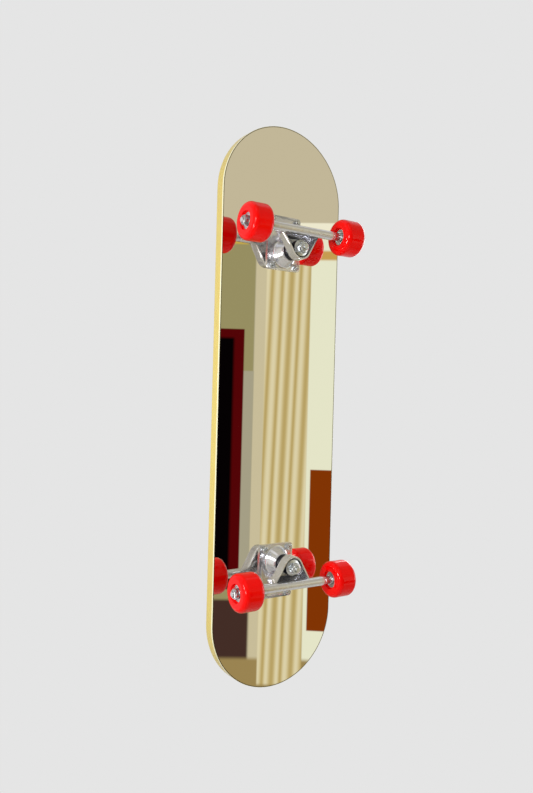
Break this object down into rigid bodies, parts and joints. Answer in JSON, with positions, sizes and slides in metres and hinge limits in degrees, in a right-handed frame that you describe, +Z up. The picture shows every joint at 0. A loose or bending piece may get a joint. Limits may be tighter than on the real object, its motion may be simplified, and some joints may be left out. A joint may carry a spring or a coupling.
{
  "type": "skateboard wall mirror",
  "caption": "Flat round-ended skateboard faced with a mirror, hung upright on a wall, with two sprung trucks and spinning urethane wheels on bearings.",
  "frame": {"origin": "centre of the board's back face, which lies against the wall", "axes": "+Z up along the board's length, +Y into the wall, -Y outward through the mirror and trucks, +X to the right seen from the front"},
  "size_m": [0.1974, 0.0887, 0.7868],
  "materials": {
    "birch_plywood": "clear satin lacquer, ply lines on the edge",
    "acrylic_mirror": "mirror, polished edge",
    "chromed_pressed_steel": "bright plating over pressed sheet",
    "zinc_plated_steel": "bright zinc plate",
    "bearing_steel": "ground and polished",
    "black_rubber": "moulded, semi-gloss",
    "red_urethane": "cast, glossy"
  },
  "bodies": {
    "board": {"deck": "birch_plywood", "mirror_sheet": "acrylic_mirror", "keyhole_plates": "zinc_plated_steel", "keyhole_screws": "zinc_plated_steel", "truck_bolts": "zinc_plated_steel", "truck_nuts": "zinc_plated_steel", "baseplate_lower": "chromed_pressed_steel", "pivot_cup_lower": "black_rubber", "kingpin_lower": "zinc_plated_steel", "board_washer_lower": "chromed_pressed_steel", "board_bushing_lower": "black_rubber", "road_bushing_lower": "black_rubber", "road_washer_lower": "chromed_pressed_steel", "kingpin_nut_lower": "zinc_plated_steel", "baseplate_upper": "chromed_pressed_steel", "pivot_cup_upper": "black_rubber", "kingpin_upper": "zinc_plated_steel", "board_washer_upper": "chromed_pressed_steel", "board_bushing_upper": "black_rubber", "road_bushing_upper": "black_rubber", "road_washer_upper": "chromed_pressed_steel", "kingpin_nut_upper": "zinc_plated_steel"},
    "wheel_body_lower_left": {"wheel_lower_left": "red_urethane", "bearing_outers_lower_left": "bearing_steel", "bearing_balls_lower_left": "bearing_steel", "bearing_shields_lower_left": "bearing_steel"},
    "wheel_body_lower_right": {"wheel_lower_right": "red_urethane", "bearing_outers_lower_right": "bearing_steel", "bearing_balls_lower_right": "bearing_steel", "bearing_shields_lower_right": "bearing_steel"},
    "hanger_body_lower": {"hanger_lower": "chromed_pressed_steel", "axle_lower": "zinc_plated_steel", "bearing_inners_lower_left": "bearing_steel", "bearing_spacer_lower_left": "zinc_plated_steel", "speed_washers_lower_left": "zinc_plated_steel", "axle_nut_lower_left": "zinc_plated_steel", "bearing_inners_lower_right": "bearing_steel", "bearing_spacer_lower_right": "zinc_plated_steel", "speed_washers_lower_right": "zinc_plated_steel", "axle_nut_lower_right": "zinc_plated_steel"},
    "wheel_body_upper_left": {"wheel_upper_left": "red_urethane", "bearing_outers_upper_left": "bearing_steel", "bearing_balls_upper_left": "bearing_steel", "bearing_shields_upper_left": "bearing_steel"},
    "wheel_body_upper_right": {"wheel_upper_right": "red_urethane", "bearing_outers_upper_right": "bearing_steel", "bearing_balls_upper_right": "bearing_steel", "bearing_shields_upper_right": "bearing_steel"},
    "hanger_body_upper": {"hanger_upper": "chromed_pressed_steel", "axle_upper": "zinc_plated_steel", "bearing_inners_upper_left": "bearing_steel", "bearing_spacer_upper_left": "zinc_plated_steel", "speed_washers_upper_left": "zinc_plated_steel", "axle_nut_upper_left": "zinc_plated_steel", "bearing_inners_upper_right": "bearing_steel", "bearing_spacer_upper_right": "zinc_plated_steel", "speed_washers_upper_right": "zinc_plated_steel", "axle_nut_upper_right": "zinc_plated_steel"}
  },
  "joints": [
    {"name": "steer_lower", "type": "hinge", "parent": "board", "child": "hanger_body_lower", "pos_m": [0, -0.028, -0.2473], "axis": [0, -0.5428, 0.8398], "range_deg": [-8, 8], "stiffness_Nm_per_rad": 60, "deforming": ["board_bushing_lower", "road_bushing_lower"]},
    {"name": "spin_lower_left", "type": "hinge", "parent": "hanger_body_lower", "child": "wheel_body_lower_left", "pos_m": [-0.0763, -0.0634, -0.2403], "axis": [1, 0, 0], "continuous": true},
    {"name": "spin_lower_right", "type": "hinge", "parent": "hanger_body_lower", "child": "wheel_body_lower_right", "pos_m": [0.0763, -0.0634, -0.2403], "axis": [1, 0, 0], "continuous": true},
    {"name": "steer_upper", "type": "hinge", "parent": "board", "child": "hanger_body_upper", "pos_m": [0, -0.028, 0.2473], "axis": [0, -0.5428, -0.8398], "range_deg": [-8, 8], "stiffness_Nm_per_rad": 60, "deforming": ["board_bushing_upper", "road_bushing_upper"]},
    {"name": "spin_upper_left", "type": "hinge", "parent": "hanger_body_upper", "child": "wheel_body_upper_left", "pos_m": [-0.0763, -0.0634, 0.2403], "axis": [1, 0, 0], "continuous": true},
    {"name": "spin_upper_right", "type": "hinge", "parent": "hanger_body_upper", "child": "wheel_body_upper_right", "pos_m": [0.0763, -0.0634, 0.2403], "axis": [1, 0, 0], "continuous": true}
  ]
}
